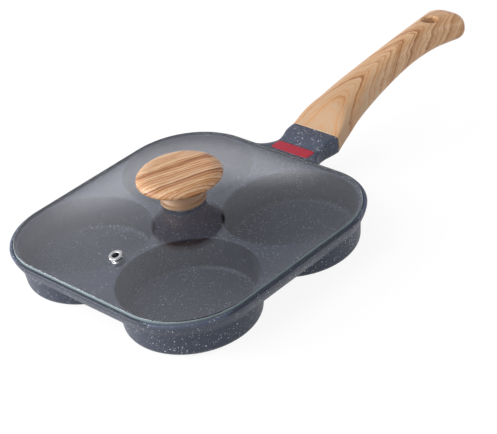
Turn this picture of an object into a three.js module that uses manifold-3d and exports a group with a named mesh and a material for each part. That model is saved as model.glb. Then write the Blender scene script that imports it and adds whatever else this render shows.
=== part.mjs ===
// Four-cup egg pan: a cast aluminium pan with a wood-effect handle and a domed glass lid.
// Millimetres, +Z up, handle towards +X. Z = 0 is the surface that the cups stand on.

import * as THREE from 'three';
import { mergeVertices } from 'three/addons/utils/BufferGeometryUtils.js';
import Module from 'manifold-3d';

const wasm = await Module();
wasm.setup();

// Cups
const cupMouthRadius = 46.6; // at the deck, outside the rounded edge
const cupMouthRound = 0.9;
const cupRidge = 3.4; // deck left between two mouths
const cupCollarRadius = 47.2; // outside wall where it runs into the deck
const cupShoulderRadius = 46.4; // outside wall at the bottom of the skirt
const cupBaseRadius = 45.2; // outside wall above the base fillet
const cupBaseFillet = 5;
const cupFloorFillet = 3;
const cupFloor = 4.2;
const cupWall = 2.2;

// Deck, rim and skirt
const rimHeight = 28.8;
const rimLip = 2.4;
const rimRound = 1.1;
const deckDrop = 2.6; // rim top down to the deck that carries the lid
const deckThickness = 3.8;
const deckLedge = 2.7; // deck left between a mouth and the rim lip
const skirtHeight = 12;
const skirtFlare = 5; // how far the skirt leans out from its foot to the rim
const skirtBulge = 1.4; // how far the flare bows out from a straight slope
const skirtFootRound = 0.8;
const skirtWall = 3.2;
const webLength = 12; // cast web that joins two cups under the deck

// Lug for the handle, cast with the pan
const lugLength = 31; // rim to grip
const lugWaist = 37.4;
const lugEndWidth = 42.4;
const lugEndHeight = 15;
const lugRootFillet = 18.5; // in plan, where the lug runs into the rim
const lugRootDrop = 0.3; // lug top below the rim top
const lugFlat = 11; // level stretch of the lug top beside the rim
const lugLevel = 23; // from the rim to where the lug top is as high as at the grip
const lugFootRise = 0.2; // lug underside above the skirt's foot
const lugSharpness = 8; // exponent of the squarish section at the rim
const lugEndSharpness = 12;
const lugFootSharpness = 4.6; // exponent of the rounder underside

// Tongue on the lug and the screw that holds the grip on it
const tongueLength = 27;
const tongueWidth = 18;
const tongueThickness = 7.2;
const tongueSharpness = 5;
const tongueRoot = 3; // length sunk into the lug
const tongueFit = 0.3;
const gripScrewDistance = 12; // from the lug face
const gripScrewRadius = 2.5;
const gripScrewHeadRadius = 4.4;
const gripScrewHeadHeight = 1.7;
const gripScrewReach = 5.5; // thread above the underside of the tongue
const gripWasherRadius = 4.4;
const gripWasherThickness = 0.7;
const gripWeb = 1.3; // grip wall left under the washer
const screwFit = 0.2;
const driveRadius = 1.6; // recess in a screw head
const driveDepth = 1.1;

// Red strip let into the lug
const insetWidth = 10;
const insetLength = 34;
const insetCorner = 2.4;
const insetDepth = 1.8;
const insetProud = 0.3;
const insetFromRim = 1.3;
const insetFit = 0.15;
const insetBevel = 0.4;

// Grip: distance from the lug face, rise of the middle of the section above the lug's, half width
const gripStations = [
  [14, 6.7, 20],
  [34, 13, 17.5],
  [69, 19.6, 13.4],
  [104, 23.9, 11],
  [131, 24.8, 12.5],
  [153.6, 23.2, 17.2],
];
const gripTail = 12.6; // rounded end past the last station
const gripTailSharpness = 2.45;
const gripThickness = 21.4;
const gripSwell = 22; // length over which the grip thickens and rounds off from the lug's section
const gripTopSharpness = 2.6;
const gripUnderSharpness = 2.7;
const gripGap = 0.3; // between the lug face and the grip
const hangHoleRadius = 6.2;
const hangHoleRound = 1.6;
const hangHoleFromEnd = 28;

// Glass lid
const lidGap = 0.4; // round the edge of the glass
const lidSeatGap = 0.3; // between the deck and the glass
const glassThickness = 4;
const glassEdgeRound = 0.9;
const glassFlange = 4; // flat border that rests on the deck
const domeRise = 13.2;
const domeExponent = 1.5;
const glassHoleRadius = 3.4;

// Steam vent in the lid
const ventFromEdge = 34.2; // in from the edge of the glass, on the side away from the handle
const ventBore = 2;
const ventBarrel = 2.9;
const ventFlange = 4.8;
const ventFoot = 4.3; // rolled rim under the glass
const ventFlangeHeight = 1.2;
const ventFootHeight = 0.9;
const ventFit = 0.3;

// Knob and the parts that hold it
const knobFoot = 15.4;
const knobFootHeight = 2.6;
const knobFootRound = 0.8;
const knobNeck = 12.6;
const knobNeckHeight = 8.6;
const knobCap = 29;
const knobCapHeight = 18; // widest circle above the foot
const knobCapUnderRound = 1.6;
const knobTopRound = 4.5;
const knobCrown = 0.6;
const knobUnderRise = 4.6; // underside of the cap from the neck out to its edge
const knobBoreDepth = 13.5;
const insertRadius = 4;
const insertLength = 12;
const insertFit = 0.2;
const knobScrewRadius = 2.5;
const knobScrewReach = 9.5; // thread inside the insert
const knobScrewHeadRadius = 4.6;
const knobScrewHeadHeight = 2.4;
const knobGasketRadius = 13;
const knobGasketThickness = 0.8;
const glassGasketRadius = 9;
const glassGasketThickness = 1.2;
const knobWasherRadius = 8;
const knobWasherThickness = 1;
const stackGap = 0.1; // between the parts clamped on the glass

// Facets
const cupSegments = 36;
const knobSegments = 32;
const smallSegments = 16;
const cornerSteps = 8; // facets in each round corner of the pan and the lid
const sectionPoints = 24; // points round a section of the lug or the grip
const filletSteps = 4;
const edgeSteps = 2; // facets in a small rounded edge
const lugSteps = 5; // rings in each half of the lug
const tongueSteps = 4;
const gripSteps = 17;
const tailSteps = 7;
const tailTip = 84; // degrees round the tail where its small flat tip begins
const domeSteps = 8;
const domeCore = 2; // innermost ring of the glass, inside the knob's hole
const throughCut = 2; // length by which a cutter runs past the faces that it opens
const mergeDistance = 1e-4;
const searchSteps = 40; // halvings when a place on the grip's curve is looked for

// Derived from the sizes above
const cupOffset = cupMouthRadius + cupRidge / 2;
const recessRadius = cupMouthRadius + deckLedge;
const recessHalf = cupOffset + recessRadius;
const panHalf = recessHalf + rimLip;
const panCorner = recessRadius + rimLip;
const deckHeight = rimHeight - deckDrop;
const skirtFoot = rimHeight - skirtHeight;
const lugFace = panHalf + lugLength;
const lugBottom = skirtFoot + lugFootRise;
const lugRoot = skirtFlare + skirtWall / 2; // length sunk into the skirt
const lugRootTop = rimHeight - lugRootDrop;
const lugEndTop = lugBottom + lugEndHeight;
const lugMiddle = (lugBottom + lugEndTop) / 2;
const gripShoulder = lugFace + gripStations.at(-1)[0];
const gripEnd = gripShoulder + gripTail;
const glassHalf = recessHalf - lidGap;
const glassCorner = recessRadius - lidGap;
const glassBottom = deckHeight + lidSeatGap;
const glassTop = glassBottom + glassThickness;
const ventDistance = glassHalf - ventFromEdge; // from the middle of the lid
const quarters = [[-1, -1], [1, -1], [1, 1], [-1, 1]]; // corners in turn, from the near left one
const cupPlaces = quarters.map(([x, y]) => [x * cupOffset, y * cupOffset]);

// Solids from geometry
function tidy(geometry) {
  const bare = geometry.clone();
  bare.deleteAttribute('normal');
  bare.deleteAttribute('uv');
  const merged = mergeVertices(bare, mergeDistance);
  const corners = merged.index.array;
  const kept = [];
  for (let i = 0; i < corners.length; i += 3) {
    const [a, b, c] = [corners[i], corners[i + 1], corners[i + 2]];
    if (a !== b && b !== c && c !== a) kept.push(a, b, c);
  }
  merged.setIndex(kept);
  return merged;
}

function solidOf(geometry) {
  const clean = tidy(geometry);
  const mesh = new wasm.Mesh({
    numProp: 3,
    vertProperties: new Float32Array(clean.attributes.position.array),
    triVerts: new Uint32Array(clean.index.array),
  });
  return new wasm.Manifold(mesh);
}

function geometryOf(solid) {
  const mesh = solid.getMesh();
  const geometry = new THREE.BufferGeometry();
  geometry.setAttribute('position', new THREE.BufferAttribute(mesh.vertProperties, 3));
  geometry.setIndex(new THREE.BufferAttribute(mesh.triVerts, 1));
  return geometry;
}

// A closed skin through rings of equally many points, with flat ends
function loft(rings) {
  const count = rings[0].length;
  const points = rings.flat();
  const faces = [];
  for (let k = 0; k + 1 < rings.length; k += 1) {
    for (let i = 0; i < count; i += 1) {
      const next = (i + 1) % count;
      const [a, b] = [k * count + i, k * count + next];
      faces.push(a, b, b + count, a, b + count, a + count);
    }
  }
  const last = (rings.length - 1) * count;
  for (let i = 1; i + 1 < count; i += 1) {
    faces.push(0, i + 1, i);
    faces.push(last, last + i, last + i + 1);
  }
  const geometry = new THREE.BufferGeometry().setFromPoints(points);
  geometry.setIndex(faces);
  return geometry;
}

// A solid of revolution about Z, from [radius, height] pairs that run up the outside
function revolve(profile, segments) {
  const points = profile.map(([radius, height]) => new THREE.Vector2(radius, height));
  return new THREE.LatheGeometry(points, segments).rotateX(Math.PI / 2);
}

function ring(inner, outer, bottom, top, segments) {
  const profile = [[inner, bottom], [outer, bottom], [outer, top], [inner, top], [inner, bottom]];
  return revolve(profile, segments);
}

function cylinder(radius, bottom, top, segments) {
  return revolve([[0, bottom], [radius, bottom], [radius, top], [0, top]], segments);
}

// Points on an arc, angles in degrees
function arc(x, y, radius, from, to, steps = filletSteps) {
  const points = [];
  for (let i = 0; i <= steps; i += 1) {
    const angle = THREE.MathUtils.degToRad(from + ((to - from) * i) / steps);
    points.push([x + radius * Math.cos(angle), y + radius * Math.sin(angle)]);
  }
  return points;
}

// Square outline with round corners, at one height
function squareRing(half, corner, height) {
  const centre = half - corner;
  const points = [];
  quarters.forEach(([x, y], quarter) => {
    const from = 180 + 90 * quarter;
    const round = arc(x * centre, y * centre, corner, from, from + 90, cornerSteps);
    points.push(...round.map(([u, v]) => new THREE.Vector3(u, v, height)));
  });
  return points;
}

// Squarish section of the lug or the grip, across X
function sectionRing(x, height, halfWidth, halfHeight, topSharpness, underSharpness) {
  const points = [];
  for (let i = 0; i < sectionPoints; i += 1) {
    const angle = (2 * Math.PI * i) / sectionPoints;
    const [c, s] = [Math.cos(angle), Math.sin(angle)];
    const power = 2 / (s >= 0 ? topSharpness : underSharpness);
    const y = halfWidth * Math.sign(c) * Math.abs(c) ** power;
    const z = height + halfHeight * Math.sign(s) * Math.abs(s) ** power;
    points.push(new THREE.Vector3(x, y, z));
  }
  return points;
}

// Middle line and half width of the grip, as one curve from the lug face to the last station
const gripCurve = new THREE.CatmullRomCurve3(
  [[0, 0, lugEndWidth / 2], ...gripStations].map((station) => new THREE.Vector3(...station)),
  false,
  'centripetal',
);

function gripAt(distance) {
  let [low, high] = [0, 1];
  for (let i = 0; i < searchSteps; i += 1) {
    const middle = (low + high) / 2;
    if (gripCurve.getPoint(middle).x < distance) low = middle;
    else high = middle;
  }
  const point = gripCurve.getPoint(low);
  const tangent = gripCurve.getTangent(low);
  return { height: lugMiddle + point.y, halfWidth: point.z, slope: tangent.y / tangent.x };
}

function gripHalfHeight(distance) {
  const swell = THREE.MathUtils.smoothstep(distance, 0, gripSwell);
  return THREE.MathUtils.lerp(lugEndHeight, gripThickness, swell) / 2;
}

// Height and slope of the top of the glass, at a distance from the middle along X
function domeAt(distance) {
  const reach = glassHalf - glassFlange;
  const inside = Math.max(0, 1 - (distance / reach) ** 2);
  const height = glassTop + domeRise * inside ** domeExponent;
  const slope = -domeRise * domeExponent * inside ** (domeExponent - 1) * (2 * distance) / reach ** 2;
  return { height, slope };
}

// Pan body
function trayRings() {
  const foot = panHalf - skirtFlare;
  const footEdge = arc(foot - skirtFootRound, skirtFoot + skirtFootRound, skirtFootRound, -90, 0, edgeSteps);
  const rimEdge = arc(panHalf - rimRound, rimHeight - rimRound, rimRound, 0, 90, edgeSteps);
  const flare = new THREE.QuadraticBezierCurve(
    new THREE.Vector2(foot, skirtFoot + skirtFootRound),
    new THREE.Vector2(panHalf - skirtFlare / 2 + skirtBulge, (skirtFoot + rimHeight) / 2),
    new THREE.Vector2(panHalf, rimHeight - rimRound),
  );
  const slope = flare.getPoints(filletSteps).slice(1, -1).map((point) => [point.x, point.y]);
  const profile = [...footEdge, ...slope, ...rimEdge];
  return profile.map(([half, height]) => squareRing(half, panCorner - (panHalf - half), height));
}

function cupOutside() {
  const fillet = arc(cupBaseRadius - cupBaseFillet, cupBaseFillet, cupBaseFillet, -90, 0);
  const top = deckHeight - deckThickness / 2;
  const profile = [[0, 0], ...fillet, [cupShoulderRadius, skirtFoot], [cupCollarRadius, top], [0, top]];
  return revolve(profile, cupSegments);
}

function cupInside() {
  const floorRadius = cupBaseRadius - cupWall;
  const fillet = arc(floorRadius - cupFloorFillet, cupFloor + cupFloorFillet, cupFloorFillet, -90, 0);
  const mouth = arc(cupMouthRadius, deckHeight - cupMouthRound, cupMouthRound, 180, 90);
  const top = rimHeight + throughCut;
  const profile = [
    [0, cupFloor],
    ...fillet,
    [cupShoulderRadius - cupWall, skirtFoot],
    ...mouth,
    [cupMouthRadius, top],
    [0, top],
  ];
  return revolve(profile, cupSegments);
}

// Ring of the lug at a distance from the rim, spread sideways by the fillet at its root
function lugRing(distance, spread) {
  const along = THREE.MathUtils.smoothstep(distance, lugFlat, lugLength);
  const halfWidth = THREE.MathUtils.lerp(lugWaist, lugEndWidth, along) / 2 + spread;
  const climb = THREE.MathUtils.smoothstep(distance, lugFlat, lugLevel);
  const top = THREE.MathUtils.lerp(lugRootTop, lugEndTop, climb);
  const sharpness = THREE.MathUtils.lerp(lugSharpness, lugEndSharpness, along);
  const [middle, halfHeight] = [(top + lugBottom) / 2, (top - lugBottom) / 2];
  return sectionRing(panHalf + distance, middle, halfWidth, halfHeight, sharpness, lugFootSharpness);
}

function lugRings() {
  const rings = [lugRing(-lugRoot, lugRootFillet)];
  for (const [x, y] of arc(lugRootFillet, lugRootFillet, lugRootFillet, 180, 270, lugSteps)) {
    rings.push(lugRing(x, y));
  }
  for (let i = 1; i <= lugSteps; i += 1) {
    rings.push(lugRing(THREE.MathUtils.lerp(lugRootFillet, lugLength, i / lugSteps), 0));
  }
  return rings;
}

// The tongue follows the middle of the grip. The same form, grown by the fit, cuts the grip's socket.
function tongueRings(fit) {
  const distances = [-tongueRoot];
  for (let i = 0; i <= tongueSteps; i += 1) distances.push(((tongueLength + fit) * i) / tongueSteps);
  const [halfWidth, halfHeight] = [tongueWidth / 2 + fit, tongueThickness / 2 + fit];
  return distances.map((distance) => {
    const { height } = gripAt(Math.max(0, distance));
    return sectionRing(lugFace + distance, height, halfWidth, halfHeight, tongueSharpness, tongueSharpness);
  });
}

// Frame of the grip's screw: its Z stands square to the middle line of the grip
const gripScrewAt = gripAt(gripScrewDistance);
const gripScrewTilt = -Math.atan(gripScrewAt.slope);
const gripScrewFrame = new THREE.Matrix4()
  .makeRotationY(gripScrewTilt)
  .setPosition(lugFace + gripScrewDistance, 0, gripScrewAt.height);
const acrossGrip = Math.cos(gripScrewTilt);
const tongueUnder = -(tongueThickness / 2) * acrossGrip;
const gripUnder = -gripHalfHeight(gripScrewDistance) * acrossGrip;
const washerSeat = tongueUnder - tongueFit - gripWeb;

function insetShape(grow) {
  const [halfWidth, halfLength] = [insetWidth / 2 + grow, insetLength / 2 + grow];
  const corner = insetCorner + grow;
  const [x, y] = [halfWidth - corner, halfLength - corner];
  const shape = new THREE.Shape();
  shape.absarc(x, y, corner, 0, Math.PI / 2);
  shape.absarc(-x, y, corner, Math.PI / 2, Math.PI);
  shape.absarc(-x, -y, corner, Math.PI, 1.5 * Math.PI);
  shape.absarc(x, -y, corner, 1.5 * Math.PI, 2 * Math.PI);
  return shape;
}

const insetCentre = panHalf + insetFromRim + insetWidth / 2;
const insetFloor = lugRootTop - insetDepth;

function panBody() {
  const recess = [deckHeight, rimHeight + throughCut].map((z) => squareRing(recessHalf, recessRadius, z));
  const underHalf = panHalf - skirtFlare - skirtWall;
  const underCorner = panCorner - skirtFlare - skirtWall;
  const underRange = [skirtFoot - throughCut, deckHeight - deckThickness];
  const under = underRange.map((z) => squareRing(underHalf, underCorner, z));
  let body = solidOf(loft(trayRings())).subtract(solidOf(loft(recess))).subtract(solidOf(loft(under)));
  for (const [x, y] of cupPlaces) body = body.add(solidOf(cupOutside().translate(x, y, 0)));
  const webSpan = 2 * (cupOffset - cupShoulderRadius + cupWall);
  const webHeight = deckHeight - deckThickness / 2 - skirtFoot;
  const web = new THREE.BoxGeometry(webSpan, webLength, webHeight);
  for (let quarter = 0; quarter < 4; quarter += 1) {
    const placed = web.clone().translate(0, cupOffset, skirtFoot + webHeight / 2);
    body = body.add(solidOf(placed.rotateZ((quarter * Math.PI) / 2)));
  }
  const lug = solidOf(loft(lugRings())).add(solidOf(loft(tongueRings(0))));
  body = body.add(lug.subtract(solidOf(loft(recess))));
  for (const [x, y] of cupPlaces) body = body.subtract(solidOf(cupInside().translate(x, y, 0)));
  const pocket = new THREE.ExtrudeGeometry(insetShape(insetFit), {
    depth: insetDepth + throughCut,
    bevelEnabled: false,
    curveSegments: filletSteps,
  });
  body = body.subtract(solidOf(pocket.translate(insetCentre, 0, insetFloor)));
  const thread = cylinder(
    gripScrewRadius + screwFit,
    tongueUnder - throughCut,
    tongueUnder + gripScrewReach + screwFit,
    smallSegments,
  );
  return geometryOf(body.subtract(solidOf(thread.applyMatrix4(gripScrewFrame))));
}

function redInset() {
  const depth = insetDepth + insetProud - insetFit - 2 * insetBevel;
  const strip = new THREE.ExtrudeGeometry(insetShape(-insetBevel), {
    depth,
    bevelSize: insetBevel,
    bevelThickness: insetBevel,
    bevelSegments: 1,
    curveSegments: filletSteps,
  });
  return strip.translate(insetCentre, 0, insetFloor + insetFit + insetBevel);
}

// Grip
function gripRings() {
  const length = gripStations.at(-1)[0];
  const rings = [];
  for (let i = 0; i <= gripSteps; i += 1) {
    const distance = THREE.MathUtils.lerp(gripGap, length, i / gripSteps);
    const { height, halfWidth } = gripAt(distance);
    const swell = THREE.MathUtils.smoothstep(distance, 0, gripSwell);
    const top = THREE.MathUtils.lerp(lugEndSharpness, gripTopSharpness, swell);
    const under = THREE.MathUtils.lerp(lugFootSharpness, gripUnderSharpness, swell);
    rings.push(sectionRing(lugFace + distance, height, halfWidth, gripHalfHeight(distance), top, under));
  }
  const shoulder = gripAt(length);
  const quarterTurn = arc(0, 0, 1, 90, 90 - tailTip, tailSteps).slice(1);
  const tip = quarterTurn.at(-1)[0];
  for (const [sine] of quarterTurn) {
    const narrow = (1 - sine ** gripTailSharpness) ** (1 / gripTailSharpness);
    const past = (gripTail * sine) / tip;
    const height = shoulder.height + shoulder.slope * past;
    const [halfWidth, halfHeight] = [shoulder.halfWidth * narrow, (gripThickness / 2) * narrow];
    const x = gripShoulder + past;
    rings.push(sectionRing(x, height, halfWidth, halfHeight, gripTopSharpness, gripUnderSharpness));
  }
  return rings;
}

function hangHole() {
  const distance = gripEnd - hangHoleFromEnd - lugFace;
  const { height } = gripAt(distance);
  const [bottom, top] = [height - gripThickness / 2, height + gripThickness / 2];
  const wide = hangHoleRadius + hangHoleRound;
  const profile = [
    [0, bottom - throughCut],
    [wide, bottom - throughCut],
    ...arc(wide, bottom + hangHoleRound, hangHoleRound, 270, 180),
    ...arc(wide, top - hangHoleRound, hangHoleRound, 180, 90),
    [wide, top + throughCut],
    [0, top + throughCut],
  ];
  return revolve(profile, smallSegments).translate(lugFace + distance, 0, 0);
}

function handleGrip() {
  const shaft = cylinder(gripScrewRadius + screwFit, gripUnder - throughCut, 0, smallSegments);
  const well = cylinder(gripWasherRadius + screwFit, gripUnder - throughCut, washerSeat, smallSegments);
  return geometryOf(
    solidOf(loft(gripRings()))
      .subtract(solidOf(loft(tongueRings(tongueFit))))
      .subtract(solidOf(shaft.applyMatrix4(gripScrewFrame)))
      .subtract(solidOf(well.applyMatrix4(gripScrewFrame)))
      .subtract(solidOf(hangHole())),
  );
}

// A screw standing on Z = 0 with its head below, and a cross recess left round
function screw(radius, length, headRadius, headHeight) {
  const headRound = headHeight / 3;
  const profile = [
    [0, driveDepth - headHeight],
    [driveRadius, driveDepth - headHeight],
    [driveRadius, -headHeight],
    ...arc(headRadius - headRound, headRound - headHeight, headRound, -90, 0, edgeSteps),
    [headRadius, 0],
    [radius, 0],
    [radius, length - radius / 2],
    [radius / 2, length],
    [0, length],
  ];
  return revolve(profile, smallSegments);
}

const gripWasherTop = washerSeat - stackGap;
const gripScrewHeadTop = gripWasherTop - gripWasherThickness - stackGap;

function handleScrew() {
  const length = tongueUnder + gripScrewReach - gripScrewHeadTop;
  const shape = screw(gripScrewRadius, length, gripScrewHeadRadius, gripScrewHeadHeight);
  return shape.translate(0, 0, gripScrewHeadTop);
}

function handleWasher() {
  const bottom = gripWasherTop - gripWasherThickness;
  return ring(gripScrewRadius + screwFit, gripWasherRadius, bottom, gripWasherTop, smallSegments);
}

// Lid
const ventDome = domeAt(ventDistance);
const ventTilt = Math.atan(ventDome.slope);
const ventFrame = new THREE.Matrix4()
  .makeRotationY(ventTilt)
  .setPosition(-ventDistance, 0, ventDome.height - glassThickness / 2);
const ventGlassHalf = (glassThickness / 2) * Math.cos(ventTilt);

function glassRing(half, height) {
  const share = (half / glassHalf) ** 2;
  const corner = half * (1 - (1 - glassCorner / glassHalf) * share);
  return squareRing(half, corner, height);
}

function lidGlass() {
  const upper = [];
  for (let i = 0; i <= domeSteps; i += 1) {
    const half = THREE.MathUtils.lerp(domeCore, glassHalf - glassFlange, i / domeSteps);
    upper.push([half, domeAt(half).height]);
  }
  const lower = upper.map(([half, height]) => [half, height - glassThickness]);
  const edge = [
    ...arc(glassHalf - glassEdgeRound, glassBottom + glassEdgeRound, glassEdgeRound, -90, 0, edgeSteps),
    ...arc(glassHalf - glassEdgeRound, glassTop - glassEdgeRound, glassEdgeRound, 0, 90, edgeSteps),
  ];
  const outline = [...lower, ...edge, ...upper.reverse()];
  const plate = solidOf(loft(outline.map(([half, height]) => glassRing(half, height))));
  const [low, high] = [glassBottom - throughCut, glassTop + domeRise + throughCut];
  const knobHole = cylinder(glassHoleRadius, low, high, smallSegments);
  const ventHole = cylinder(ventBarrel + ventFit, -2 * glassThickness, 2 * glassThickness, smallSegments);
  return geometryOf(plate.subtract(solidOf(knobHole)).subtract(solidOf(ventHole.applyMatrix4(ventFrame))));
}

function ventEyelet() {
  const [under, over] = [-ventGlassHalf - ventFit, ventGlassHalf + ventFit];
  const flangeRound = ventFlangeHeight / 2;
  const footRound = ventFootHeight / 2;
  const profile = [
    [ventBore, under - ventFootHeight],
    ...arc(ventFoot - footRound, under - footRound, footRound, -90, 90, filletSteps),
    [ventBarrel, under],
    [ventBarrel, over],
    ...arc(ventFlange - flangeRound, over + flangeRound, flangeRound, -90, 90, filletSteps),
    ...arc(ventBore + flangeRound, over + flangeRound, flangeRound, 90, 180, edgeSteps),
    [ventBore, under - ventFootHeight],
  ];
  return revolve(profile, smallSegments);
}

const domeTop = domeAt(0).height;
const knobGasketBottom = domeTop + stackGap;
const knobBase = knobGasketBottom + knobGasketThickness + stackGap;
const glassGasketTop = domeAt(glassGasketRadius).height - glassThickness - stackGap;
const knobWasherTop = glassGasketTop - glassGasketThickness - stackGap;
const knobScrewHeadTop = knobWasherTop - knobWasherThickness - stackGap;

function knobProfile() {
  const neckOut = new THREE.QuadraticBezierCurve(
    new THREE.Vector2(knobNeck, knobNeckHeight),
    new THREE.Vector2(knobNeck, knobCapHeight - knobUnderRise),
    new THREE.Vector2(knobCap - knobCapUnderRound, knobCapHeight - knobCapUnderRound),
  );
  const footIn = new THREE.QuadraticBezierCurve(
    new THREE.Vector2(knobFoot, knobFootHeight),
    new THREE.Vector2(knobNeck, knobFootHeight),
    new THREE.Vector2(knobNeck, knobNeckHeight),
  );
  const topHeight = knobCapHeight + knobTopRound;
  return [
    [insertRadius + insertFit, knobBoreDepth],
    [insertRadius + insertFit, 0],
    ...arc(knobFoot - knobFootRound, knobFootRound, knobFootRound, -90, 0, edgeSteps),
    ...footIn.getPoints(filletSteps).map((p) => [p.x, p.y]),
    ...neckOut.getPoints(filletSteps + 1).slice(1).map((p) => [p.x, p.y]),
    ...arc(knobCap - knobCapUnderRound, knobCapHeight, knobCapUnderRound, -60, 0, edgeSteps),
    ...arc(knobCap - knobTopRound, knobCapHeight, knobTopRound, 0, 90).slice(1),
    ...[0.5, 0].map((share) => [share * (knobCap - knobTopRound), topHeight + knobCrown * (1 - share ** 2)]),
  ];
}

function knob() {
  return revolve([[0, knobBoreDepth], ...knobProfile()], knobSegments);
}

function knobScrew() {
  const length = knobBase + knobScrewReach - knobScrewHeadTop;
  const shape = screw(knobScrewRadius, length, knobScrewHeadRadius, knobScrewHeadHeight);
  return shape.translate(0, 0, knobScrewHeadTop);
}

function clampRing(radius, thickness, top) {
  return ring(knobScrewRadius + screwFit, radius, top - thickness, top, smallSegments);
}

// Finishes
const finish = (color, roughness, metalness = 0, extra = {}) =>
  new THREE.MeshStandardMaterial({ color, roughness, metalness, ...extra });
const graniteCoat = finish(0x4d5159, 0.5);
const redSilicone = finish(0xb3283a, 0.5);
const woodMoulding = finish(0xc09a72, 0.5);
const clearGlass = finish(0xdfe9e4, 0.05, 0, { transparent: true, opacity: 0.3 });
const brightSteel = finish(0xc9cacb, 0.25, 1);
const zincSteel = finish(0xa9abad, 0.4, 1);
const brass = finish(0xb8934a, 0.4, 1);
const clearSilicone = finish(0xd4d2cc, 0.6);

function piece(name, geometry, material) {
  const mesh = new THREE.Mesh(tidy(geometry), material);
  mesh.name = name;
  return mesh;
}

// Assembly
const pan = new THREE.Group();
pan.add(piece('pan_body', panBody(), graniteCoat));
pan.add(piece('red_inset', redInset(), redSilicone));
pan.add(piece('handle_grip', handleGrip(), woodMoulding));

const gripFastening = new THREE.Group();
gripFastening.applyMatrix4(gripScrewFrame);
gripFastening.add(piece('handle_screw', handleScrew(), zincSteel));
gripFastening.add(piece('handle_washer', handleWasher(), zincSteel));
pan.add(gripFastening);

const lid = new THREE.Group();
lid.add(piece('lid_glass', lidGlass(), clearGlass));
const vent = piece('vent_eyelet', ventEyelet(), brightSteel);
vent.applyMatrix4(ventFrame);
lid.add(vent);
const onGlass = new THREE.Group();
onGlass.position.z = knobBase;
onGlass.add(piece('knob', knob(), woodMoulding));
const insertShape = ring(knobScrewRadius + screwFit, insertRadius, stackGap, insertLength, smallSegments);
onGlass.add(piece('knob_insert', insertShape, brass));
lid.add(onGlass);
const upperSeal = clampRing(knobGasketRadius, knobGasketThickness, knobGasketBottom + knobGasketThickness);
const lowerSeal = clampRing(glassGasketRadius, glassGasketThickness, glassGasketTop);
const steelWasher = clampRing(knobWasherRadius, knobWasherThickness, knobWasherTop);
lid.add(piece('knob_gasket', upperSeal, clearSilicone));
lid.add(piece('glass_gasket', lowerSeal, clearSilicone));
lid.add(piece('knob_washer', steelWasher, zincSteel));
lid.add(piece('knob_screw', knobScrew(), zincSteel));

// The origin lies under the middle of the whole length
const eggPan = new THREE.Group();
eggPan.add(pan, lid);
eggPan.position.x = -(gripEnd - panHalf) / 2;

export default eggPan;
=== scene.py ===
import math

import bmesh
import bpy
from mathutils import Matrix, Vector


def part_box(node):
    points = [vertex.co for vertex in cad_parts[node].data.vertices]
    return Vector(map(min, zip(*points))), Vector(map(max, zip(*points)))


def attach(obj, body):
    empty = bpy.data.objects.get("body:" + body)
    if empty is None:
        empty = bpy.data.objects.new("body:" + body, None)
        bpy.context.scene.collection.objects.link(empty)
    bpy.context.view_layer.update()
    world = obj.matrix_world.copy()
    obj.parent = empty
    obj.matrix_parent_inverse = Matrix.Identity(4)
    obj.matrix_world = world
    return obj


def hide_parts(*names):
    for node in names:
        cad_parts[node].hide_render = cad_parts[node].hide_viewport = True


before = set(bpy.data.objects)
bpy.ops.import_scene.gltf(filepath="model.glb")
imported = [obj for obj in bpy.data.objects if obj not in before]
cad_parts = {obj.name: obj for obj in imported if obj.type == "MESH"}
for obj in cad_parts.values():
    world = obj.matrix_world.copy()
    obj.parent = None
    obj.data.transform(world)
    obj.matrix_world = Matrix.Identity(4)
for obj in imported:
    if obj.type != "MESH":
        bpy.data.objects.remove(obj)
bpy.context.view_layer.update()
mm = 0.001  # shapes are written in millimetres, with x = y = 0 under the middle of the pan
beyond = 2  # how far a cutting shape runs past the faces that it opens
slopeStep = 0.01  # short step for slopes, and slack in tests of place
searchSteps = 40  # halvings when a place on a curve is looked for
mergeWithin, dropWithin = 1e-7, 1e-8  # metres: doubled points, edges without length
lidLow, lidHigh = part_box("lid_glass")
panMiddle = Vector(((lidLow.x + lidHigh.x) / 2, (lidLow.y + lidHigh.y) / 2, 0))
print("frame loaded,", len(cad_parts), "nodes")


# Small tools for shapes

def arc(x, y, radius, start, end, steps):
    angles = [math.radians(start + (end - start) * i / steps) for i in range(steps + 1)]
    return [(x + radius * math.cos(a), y + radius * math.sin(a)) for a in angles]


def bend(a, b, c, steps):  # from a to c, drawn towards b
    points = []
    for t in (i / steps for i in range(steps + 1)):
        points.append(tuple((1 - t) ** 2 * p + 2 * t * (1 - t) * q + t * t * r for p, q, r in zip(a, b, c)))
    return points


def mix(a, b, share):
    return a + (b - a) * share


def smooth(value, low, high):
    t = min(1, max(0, (value - low) / (high - low)))
    return t * t * (3 - 2 * t)


def roundedRing(halves, corner, height, middle=0, steps=24):  # rectangle with round corners
    ring = []
    for quarter, (x, y) in enumerate(((-1, -1), (1, -1), (1, 1), (-1, 1))):
        start = 180 + 90 * quarter
        centre = (x * (halves[0] - corner), y * (halves[1] - corner))
        ring += [Vector((middle + u, v, height)) for u, v in arc(*centre, corner, start, start + 90, steps)]
    return ring


def roundRing(radius, height, steps):
    return [Vector((x, y, height)) for x, y in arc(0, 0, radius, 0, 360, steps)[:-1]]


def sectionRing(x, height, halfWidth, halfHeight, topSharpness, underSharpness, steps=64):
    ring = []
    for i in range(steps):
        c, s = math.cos(2 * math.pi * i / steps), math.sin(2 * math.pi * i / steps)
        power = 2 / (topSharpness if s >= 0 else underSharpness)
        y = halfWidth * math.copysign(abs(c) ** power, c)
        z = height + halfHeight * math.copysign(abs(s) ** power, s)
        ring.append(Vector((x, y, z)))
    return ring


def addObject(name, data):
    made = bpy.data.objects.new(name, data)
    bpy.context.scene.collection.objects.link(made)
    return made


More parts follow.
